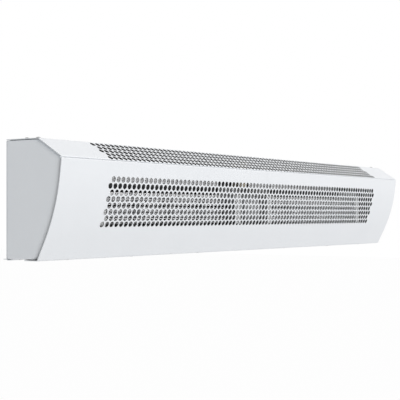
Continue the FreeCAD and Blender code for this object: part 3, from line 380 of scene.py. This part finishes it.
class Section:
    """A line of straight runs and bends across the casing, from corners (y, z, bend radius) in millimetres.

    Each entry of bends tells where a bend's sharp corner would lie, measured along the run before it and after it."""

    def __init__(self, corners):
        spots = [Vector((y, z)) for y, z, _ in corners]
        self.runs, self.bends = [], []
        here = spots[0]
        for i in range(1, len(spots)):
            way = (spots[i] - spots[i - 1]).normalized()
            radius = corners[i][2]
            if i == len(spots) - 1 or radius == 0:
                self.runs.append((here, way, (spots[i] - here).length, 0))
                here = spots[i]
                continue
            turn = way.angle_signed((spots[i + 1] - spots[i]).normalized()) * -1
            reach = radius * math.tan(abs(turn) / 2)
            bend = spots[i] - way * reach
            self.runs.append((here, way, (bend - here).length, 0))
            start = sum(run[2] for run in self.runs)
            self.bends.append((start + reach, start + radius * abs(turn) - reach))
            self.runs.append((bend, way, radius * abs(turn), math.copysign(radius, turn)))
            here = spots[i] + (spots[i + 1] - spots[i]).normalized() * reach
        self.length = sum(run[2] for run in self.runs)

    def at(self, distance):
        """The point (y, z) at a distance along the line."""
        for run in self.runs:
            start, way, length, radius = run
            if distance > length and run is not self.runs[-1]:
                distance -= length
                continue
            if radius == 0:
                return start + way * distance
            turn = distance / abs(radius)
            side = Vector((-way.y, way.x)) * math.copysign(1, radius)
            return start + way * abs(radius) * math.sin(turn) + side * abs(radius) * (1 - math.cos(turn))

    def lines(self, widest=math.inf):
        """Distances at which a flat sheet needs a line, through and beside each bend up to a radius."""
        found, passed = {0.0, self.length}, 0.0
        for _, _, length, radius in self.runs:
            if 0 < abs(radius) <= widest:
                steps = max(BEND_STEPS, round(length / BEND_STEP))
                found |= {passed + length * i / steps for i in range(steps + 1)}
                found |= {passed - BESIDE_BEND, passed + length + BESIDE_BEND}
            passed += length
        return sorted(s for s in found if 0 <= s <= self.length)


HALF = 500.0
REAR, TOP, BASE = -5.0, 76.0, -76.0
FOLD_Y, FOOT_Y, LIP_Y = -59.0, -57.5, -35.5
BROW, KNEE = (-97.5, 52.0), (-90.5, -11.0)
FOLD_RADIUS, SEAM_RADIUS, FRONT_RADIUS = 2.5, 1.2, 250.0
HEM_BACK, HEM_DROP = 7, 3.2
SHEET, SEAM = 1.0, 0.4
TOP_SECTION = Section([
    (REAR, TOP, 0), (FOLD_Y, TOP, FOLD_RADIUS), (BROW[0], BROW[1] + SEAM / 2, SEAM_RADIUS),
    (BROW[0] + HEM_BACK, BROW[1] + SEAM / 2 - HEM_DROP, 0),
])
FRONT_SECTION = Section([
    (BROW[0] + HEM_BACK, BROW[1] - SEAM / 2 - HEM_DROP, 0), (BROW[0], BROW[1] - SEAM / 2, SEAM_RADIUS),
    (*KNEE, FRONT_RADIUS), (FOOT_Y, BASE, FOLD_RADIUS), (LIP_Y, BASE, 0),
])
print(f"top sheet {TOP_SECTION.length:.1f} mm wide, front sheet {FRONT_SECTION.length:.1f} mm wide before folding")

# %% Holes
HOLE, PITCH, SHIFT, SIDES = 8.0, 10.0, -2.3, 24
ROW_STEP = PITCH * math.sqrt(3) / 2


def hole_row(columns):
    """A mesh of one row of hexagons with round holes, a little left of the casing's middle."""
    bm = bmesh.new()
    bmesh.ops.create_circle(bm, segments=SIDES, radius=HOLE / 2)
    rim = bmesh.ops.create_circle(bm, segments=SIDES, radius=PITCH / 2)["verts"]
    for vert in rim:
        angle = math.atan2(vert.co.y, vert.co.x)
        sixth = math.pi / 3
        vert.co *= 1 / math.cos(angle - sixth * round(angle / sixth))
    bmesh.ops.bridge_loops(bm, edges=bm.edges[:])
    bmesh.ops.translate(bm, verts=bm.verts, vec=(SHIFT - (columns - 1) / 2 * PITCH, 0, 0))
    cell = bm.verts[:] + bm.edges[:] + bm.faces[:]
    bmesh.ops.spin(bm, geom=cell, cent=(0, 0, 0), axis=(0, 0, 1), dvec=(PITCH, 0, 0), angle=0, steps=columns - 1,
                   use_duplicate=True)
    row = bpy.data.meshes.new("hole_row")
    bm.to_mesh(row)
    bm.free()
    return row


def chain(bm, start, step, count):
    """A straight chain of edges, drawn by moving one vertex."""
    vert = bm.verts.new(start)
    bmesh.ops.spin(bm, geom=[vert], cent=(0, 0, 0), axis=(0, 0, 1), dvec=step, angle=0, steps=count)


print(f"holes of {HOLE} mm, {PITCH} mm apart in rows {ROW_STEP:.2f} mm apart")

# %% Flat sheet, then folded
# The field of holes: half its length, its margin past the rows, and the spacing of the points on its border
FIELD_HALF, FIELD_MARGIN, FIELD_COLUMNS, FIELD_STEP = 412.0, 7, 164, 4
CAP_DEPTH, END_LINE = 18.2, 60
# Bends up to TIGHT need lines of their own; a cut goes through a point that is nearer than SNAP
TIGHT, SNAP, LINE_GAP = 10.0, 0.02, 0.5
# A face of a hole's wall is shorter round than this, and one of the sheet's other cut edges is longer
WALL_PERIMETER = 5.0


def push(bm, axis, start, stops):
    """Extends the flat sheet from the open edges on one of its lines through a list of further lines."""
    edges = [e for e in bm.edges if e.is_boundary and all(abs(v.co[axis] - start) < 1e-3 for v in e.verts)]
    for stop in stops:
        grown = bmesh.ops.extrude_edge_only(bm, edges=edges)["geom"]
        fresh = {item for item in grown if isinstance(item, bmesh.types.BMVert)}
        edges = [item for item in grown if isinstance(item, bmesh.types.BMEdge) and fresh.issuperset(item.verts)]
        for vert in fresh:
            vert.co[axis] = stop


def punched_sheet(section, rows, hem, shade_reach):
    """Builds one folded sheet.

    Rows are (columns, run), hem is the (start, end) of the fold that stops at the caps, and the near-black primer
    inside, which is painted shade, reaches the given distance along X on both sides of the middle."""
    bm = bmesh.new()
    low, high = min(r for _, r in rows) - FIELD_MARGIN, max(r for _, r in rows) + FIELD_MARGIN
    wide, tall = FIELD_COLUMNS, round((high - low) / FIELD_STEP)
    across, up = 2 * FIELD_HALF / wide, (high - low) / tall
    chain(bm, (-FIELD_HALF, low, 0), (across, 0, 0), wide)
    chain(bm, (FIELD_HALF, low, 0), (0, up, 0), tall)
    chain(bm, (FIELD_HALF, high, 0), (-across, 0, 0), wide)
    chain(bm, (-FIELD_HALF, high, 0), (0, -up, 0), tall)
    for columns, run in rows:
        row, known = hole_row(columns), len(bm.verts)
        bm.from_mesh(row)
        bpy.data.meshes.remove(row)
        bm.verts.ensure_lookup_table()
        bmesh.ops.translate(bm, verts=bm.verts[known:], vec=(0, run, 0))
    bmesh.ops.remove_doubles(bm, verts=bm.verts, dist=0.01)
    hole_side = HOLE * math.sin(math.pi / SIDES)
    border = [e for e in bm.edges if e.is_wire or e.is_boundary and e.calc_length() > 1.1 * hole_side]
    bmesh.ops.triangle_fill(bm, edges=border, use_beauty=True, normal=(0, 0, 1))
    for sign in (-1, 1):
        push(bm, 0, sign * FIELD_HALF, (sign * (HALF - END_LINE), sign * (HALF - CAP_DEPTH), sign * HALF))
    lines = section.lines()
    push(bm, 1, low, [s for s in reversed(lines) if s < low - LINE_GAP])
    push(bm, 1, high, [s for s in lines if s > high + LINE_GAP])
    for line in section.lines(TIGHT):
        if low < line < high:
            bmesh.ops.bisect_plane(bm, geom=bm.verts[:] + bm.edges[:] + bm.faces[:], plane_co=(0, line, 0),
                                   plane_no=(0, 1, 0), dist=SNAP)
    past_cap = [
        f for f in bm.faces
        if abs(f.calc_center_median().x) > HALF - CAP_DEPTH and hem[0] < f.calc_center_median().y < hem[1]
    ]
    bmesh.ops.delete(bm, geom=past_cap, context="FACES")
    for vert in bm.verts:
        y, z = section.at(vert.co.y)
        vert.co = Vector((vert.co.x, y, z)) * MM
    bmesh.ops.recalc_face_normals(bm, faces=bm.faces)
    middle = max(bm.faces, key=lambda f: f.calc_area())
    inward = Vector((0, 0, 0)) - middle.calc_center_median()
    if middle.normal.y * inward.y + middle.normal.z * inward.z > 0:
        bmesh.ops.reverse_faces(bm, faces=bm.faces)
    outside = set(bm.faces)
    bmesh.ops.solidify(bm, geom=bm.faces[:], thickness=SHEET * MM)
    paint_shade_inside(bm, outside, shade_reach)
    return bm


def paint_shade_inside(bm, outside, reach):
    """Gives the hidden side of a sheet the second finish, the near-black primer that is painted shade, out to a reach
    along X, and the walls of holes the third, bare steel that also paints shade in them.

    The sheet's other cut edges keep the first."""
    for face in bm.faces:
        if face in outside:
            continue
        x = abs(face.calc_center_median().x)
        cut = any(other in outside for edge in face.edges for other in edge.link_faces)
        if not cut and x < reach * MM:
            # Painted shade: the hidden inside gets the near-black primer.
            face.material_index = 1
        elif cut and x < FIELD_HALF * MM and face.calc_perimeter() < WALL_PERIMETER * MM:
            # Bare steel on the walls of the holes, which also paints shade into them.
            face.material_index = 2


def merged(name):
    """A copy of a solid's mesh with its doubled vertices merged."""
    bm = bmesh.new()
    bm.from_mesh(nodes[name].data)
    bmesh.ops.remove_doubles(bm, verts=bm.verts, dist=1e-6)
    return bm


def score(bm, spot, normal):
    """Cuts new edges into the mesh along a plane (mm), so that a finish can change there."""
    bmesh.ops.bisect_plane(bm, geom=bm.verts[:] + bm.edges[:] + bm.faces[:], plane_co=Vector(spot) * MM,
                           plane_no=normal, dist=1e-6)


print("sheet maker ready")

# %% Finished pieces
def finished(name, bm, body, slot, stands_for, further=(), crease=35):
    """Turns a bmesh into a piece with smooth faces, sharp edges past an angle, finishes, a body and its solids."""
    mesh = bpy.data.meshes.new(name)
    for face in bm.faces:
        face.smooth = True
    bm.to_mesh(mesh)
    bm.free()
    mesh.set_sharp_from_angle(angle=math.radians(crease))
    piece = bpy.data.objects.new(name, mesh)
    scene.collection.objects.link(piece)
    for finish_name in (slot, *further):
        mesh.materials.append(FINISHES[finish_name])
    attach(piece, body)
    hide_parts(*stands_for)
    triangles = sum(len(p.vertices) - 2 for p in mesh.polygons)
    print(f"{name}: {triangles} triangles")


print("piece helper ready")

# %% [markdown]
# ## Front and top cover
# The front has eight rows of holes below its seam. The slope above the seam has five rows, which belong to the top
# cover. Both sheets end in a narrow fold at the seam, so only a hairline shows between them.

# %% Front sheet
COLUMNS, HEM_START = 81, 2
FRONT_ROWS, FRONT_MARGIN = 8, 24.8
seam_below = FRONT_SECTION.bends[0][1]
front_bm = punched_sheet(
    FRONT_SECTION,
    [(COLUMNS - 1 + i % 2, seam_below + FRONT_MARGIN + i * ROW_STEP) for i in range(FRONT_ROWS)],
    (0, seam_below - HEM_START), HALF,
)
# The inside takes the near-black primer and the walls of the holes the bare steel: both paint shade inside the
# casing.
finished("front_sheet", front_bm, "casing", "white_enamel", ("front_panel",), ("dark_primer", "cut_steel_and_shade"))

# %% Top sheet
BROW_ROWS, BROW_MARGIN = 5, 5.0
seam_above = TOP_SECTION.bends[1][0]
top_bm = punched_sheet(
    TOP_SECTION,
    [(COLUMNS - i % 2, seam_above - BROW_MARGIN - i * ROW_STEP) for i in range(BROW_ROWS)],
    (seam_above + HEM_START, TOP_SECTION.length), HALF - CAP_DEPTH,
)
# As on the front: the primer inside and the bare hole walls paint shade.
finished("top_sheet", top_bm, "casing", "white_enamel", ("top_cover",), ("dark_primer", "cut_steel_and_shade"))

# %% [markdown]
# ## Rear panel
# The rear panel is a plain folded sheet, so a merged copy of its solid will do. The outside is white like the rest
# of the casing. The inside, between the end pans, only has a near-black primer, which is painted shade. A face
# belongs to the inside when it looks towards the casing's middle.

# %% Rear sheet
MIDDLE = Vector((0, -50, 0)) * MM
AT_REAR, FACING_IN = 0.1, -0.3
rear_bm = merged("rear_panel")
for sign in (-1, 1):
    score(rear_bm, (sign * (HALF - CAP_DEPTH), 0, 0), (1, 0, 0))
for face in rear_bm.faces:
    centre = face.calc_center_median()
    out = (centre - MIDDLE).yz.normalized()
    between = abs(centre.x) < (HALF - CAP_DEPTH) * MM and centre.y < (REAR + AT_REAR) * MM
    if between and face.normal.yz.dot(out) < FACING_IN:
        # Painted shade: these inner faces get the near-black primer.
        face.material_index = 1
finished("rear_sheet", rear_bm, "casing", "white_enamel", ("rear_panel",), ("dark_primer",), crease=8)

# %% [markdown]
# ## Rear guides
# A guide runs round the back of each wheel and ends above it in a raised lip. The lip is bare zinc. The rest lies
# in the shade of the wheel, and that shade is painted on with the near-black primer, so the mesh is scored where
# the colour changes.

# %% Rear guides
PAINTED_SHADE_BELOW = 25.0
for side in ("left", "right"):
    guide_bm = merged(f"{side}_scroll")
    score(guide_bm, (0, 0, PAINTED_SHADE_BELOW), (0, 0, 1))
    for face in guide_bm.faces:
        # Painted shade: the faces below the lip get the near-black primer.
        face.material_index = int(face.calc_center_median().z < PAINTED_SHADE_BELOW * MM)
    finished(f"{side}_guide", guide_bm, "casing", "galvanised", (f"{side}_scroll",), ("dark_primer",))

# %% [markdown]
# ## End pans
# Each end is closed by a pressed pan that fits inside the sheets. Its bend is wide along the slope and the front,
# where a soft groove shows between the pan and the sheet, and tight at the back. The pan is made from rings: each
# ring has the casing's section, a little smaller than the last, and is drawn by moving one vertex, along the
# straight sides by extruding it and round the corners by spinning it. The rings are bridged, the last one is
# filled, and the sheet gets its thickness.

# %% End pans
PAN_DEPTH, BEND_DEPTH, PAN_STEPS = 18.0, 7.0, 7
FLAT_RING, TIGHTEST = 1, 0.5
FRONT_STEPS, CORNER_STEPS, WIDE_BEND = 20, 6, 50
CORNERS = [(REAR, BASE), (REAR, TOP), (FOLD_Y, TOP), BROW, KNEE, (FOOT_Y, BASE)]
ROUNDS = (1.6, 1.6, 8.0, 8.0, FRONT_RADIUS, 8.0)
# One value for each edge: rear, top, slope, upper front, lower front, base.
EDGE_GAPS = (1.2, 1.2, 2.0, 2.7, 2.7, 1.2)
EDGE_BENDS = (0.3, 1.6, 6.5, 8.5, 8.5, 1.6)


def inset_corners(corners, gaps):
    """Moves each side of a closed outline inwards by its own gap and returns the new corners."""
    spots = [Vector(c) for c in corners]
    moved = []
    for i, here in enumerate(spots):
        into = (here - spots[i - 1]).normalized()
        out = (spots[(i + 1) % len(spots)] - here).normalized()
        normals = Matrix([(-way.y, way.x) for way in (into, out)])
        moved.append(here + normals.inverted() @ Vector((gaps[i - 1], gaps[i])))
    return moved


def draw_ring(bm, insets, x):
    """A closed ring of edges inside the casing's section; its corners get tighter as it gets smaller."""
    spots = inset_corners(CORNERS, [gap + inset for gap, inset in zip(EDGE_GAPS, insets)])
    known = set(bm.edges)
    first = vert = None
    for i, here in enumerate(spots):
        radius = max(ROUNDS[i] - (insets[i - 1] + insets[i]) / 2, TIGHTEST)
        into = (here - spots[i - 1]).normalized()
        out = (spots[(i + 1) % len(spots)] - here).normalized()
        turn = math.atan2(into.x * out.y - into.y * out.x, into.dot(out))
        start = here - into * radius * math.tan(abs(turn) / 2)
        centre = start + Vector((-into.y, into.x)) * math.copysign(radius, turn)
        if vert is None:
            first = vert = bm.verts.new((x, *start))
        else:
            vert = bmesh.ops.extrude_vert_indiv(bm, verts=[vert])["verts"][0]
            vert.co = (x, *start)
        bent = bmesh.ops.spin(bm, geom=[vert], cent=(x, *centre), axis=(1, 0, 0), angle=turn,
                              steps=FRONT_STEPS if radius > WIDE_BEND else CORNER_STEPS)
        vert = next(item for item in bent["geom_last"] if isinstance(item, bmesh.types.BMVert))
    bm.edges.new((vert, first))
    return [e for e in bm.edges if e not in known]


def end_pan(name, sign, node):
    """The rim, the bend, a narrow flat ring that keeps the face's shading flat, and the face."""
    stops = [([0.0] * len(EDGE_BENDS), PAN_DEPTH)]
    for i in range(PAN_STEPS + 1):
        turn = math.radians(90 * i / PAN_STEPS)
        stops.append(([bend * (1 - math.cos(turn)) for bend in EDGE_BENDS], BEND_DEPTH * (1 - math.sin(turn))))
    stops.append(([bend + FLAT_RING for bend in EDGE_BENDS], 0.0))
    bm = bmesh.new()
    rings = [draw_ring(bm, insets, sign * (HALF - depth)) for insets, depth in stops]
    for ring, following in zip(rings, rings[1:]):
        bmesh.ops.bridge_loops(bm, edges=ring + following)
    bmesh.ops.edgeloop_fill(bm, edges=rings[-1])
    bmesh.ops.scale(bm, verts=bm.verts, vec=(MM, MM, MM))
    bmesh.ops.recalc_face_normals(bm, faces=bm.faces)
    if max(bm.faces, key=lambda f: f.calc_area()).normal.x * sign < 0:
        bmesh.ops.reverse_faces(bm, faces=bm.faces)
    outside = set(bm.faces)
    bmesh.ops.solidify(bm, geom=bm.faces[:], thickness=SHEET * MM)
    # Painted shade: the pan's hidden inside gets the near-black primer.
    paint_shade_inside(bm, outside, HALF)
    finished(name, bm, "casing", "white_enamel", (node,), ("dark_primer",))


for side, sign in (("left", -1), ("right", 1)):
    end_pan(f"{side}_pan", sign, f"{side}_end_cap")

# %% [markdown]
# ## Screws
# Pan-head screws with a cross recess hold the top cover and the rear panel. One screw starts as a small grid whose
# inner lines give the recess its width and length. Its border is moved onto a circle, and the top is raised into a
# dome. The border is then drawn down into the wall of the head and the shank, and the cross is pressed in. Copies
# of the finished screw are turned to their places.

# %% Screws
HEAD_RADIUS, HEAD_HEIGHT, SHANK_RADIUS, SHANK_LENGTH = 3.0, 2.2, 1.5, 8.0
SLOT_HALF, SLOT_REACH, SLOT_DEPTH = 0.42, 1.55, 1.2
GRID, DOME, ON_AXIS = 5, 0.9, 0.01
FIRST_TWIST, NEXT_TWIST = 20, 37


def pan_head():
    """One screw, with its head seated on the XY plane and its top up."""
    bm = bmesh.new()
    lines = (-1.0, -SLOT_REACH / HEAD_RADIUS, -SLOT_HALF / HEAD_RADIUS, SLOT_HALF / HEAD_RADIUS,
             SLOT_REACH / HEAD_RADIUS, 1.0)
    grid = bmesh.ops.create_grid(bm, x_segments=GRID, y_segments=GRID, size=GRID / 2)["verts"]
    for vert in grid:
        column, row = (round(v + GRID / 2) for v in vert.co.xy)
        spot = Vector((lines[column], lines[row], 0))
        if 0 in (column, row) or GRID in (column, row):
            spot.normalize()
        vert.co = spot * HEAD_RADIUS
    faces = list({f for v in grid for f in v.link_faces})
    border = [e for f in faces for e in f.edges if e.is_boundary]
    cross = [f for f in faces if min(abs(v) for v in f.calc_center_median().xy) < ON_AXIS
             and f.calc_center_median().length < SLOT_REACH]
    for vert in grid:
        vert.co.z = HEAD_HEIGHT - DOME * (vert.co.xy.length / HEAD_RADIUS) ** 2
    for radius, height in ((HEAD_RADIUS, 0), (SHANK_RADIUS, 0), (SHANK_RADIUS, -SHANK_LENGTH)):
        grown = bmesh.ops.extrude_edge_only(bm, edges=border)["geom"]
        ring = {item for item in grown if isinstance(item, bmesh.types.BMVert)}
        border = [item for item in grown if isinstance(item, bmesh.types.BMEdge) and ring.issuperset(item.verts)]
        for vert in ring:
            vert.co = (*(vert.co.xy.normalized() * radius), height)
    bmesh.ops.edgeloop_fill(bm, edges=border)
    sunk = bmesh.ops.extrude_face_region(bm, geom=cross)["geom"]
    bottom = [item for item in sunk if isinstance(item, bmesh.types.BMVert)]
    bmesh.ops.delete(bm, geom=cross, context="FACES_ONLY")
    for vert in bottom:
        vert.co.z = HEAD_HEIGHT - SLOT_DEPTH
    bmesh.ops.recalc_face_normals(bm, faces=bm.faces)
    return bm


def screw_set(name, spots, aim, node):
    """Copies of the screw at the given places (mm), with their tops towards aim."""
    head = bpy.data.meshes.new("head")
    one = pan_head()
    one.to_mesh(head)
    one.free()
    bm = bmesh.new()
    turn = Vector(aim).to_track_quat("Z", "Y").to_matrix().to_4x4()
    for i, spot in enumerate(spots):
        before = len(bm.verts)
        bm.from_mesh(head)
        bm.verts.ensure_lookup_table()
        twist = Matrix.Rotation(math.radians(NEXT_TWIST * i + FIRST_TWIST), 4, "Z")
        where = Matrix.Scale(MM, 4) @ Matrix.Translation(spot) @ turn @ twist
        bmesh.ops.transform(bm, matrix=where, verts=bm.verts[before:])
    bpy.data.meshes.remove(head)
    finished(name, bm, "casing", "zinc_steel", (node,))


# Distances from the middle along X, each with its places along Y on the top or along Z at the back
TOP_SCREWS = {488.0: (-48.0, -29.0)}
REAR_SCREWS = {488.0: (38.0, -38.0), 42.8: (13.0, -52.5), 389.2: (13.0, -52.5), 15.5: (8.0, -28.0)}
top_spots = [(sign * x, y, TOP) for sign in (-1, 1) for x, depths in TOP_SCREWS.items() for y in depths]
screw_set("top_heads", top_spots, (0, 0, 1), "cover_screws")
rear_spots = [(sign * x, REAR, z) for sign in (-1, 1) for x, heights in REAR_SCREWS.items() for z in heights]
screw_set("rear_heads", rear_spots, (0, 1, 0), "rear_screws")
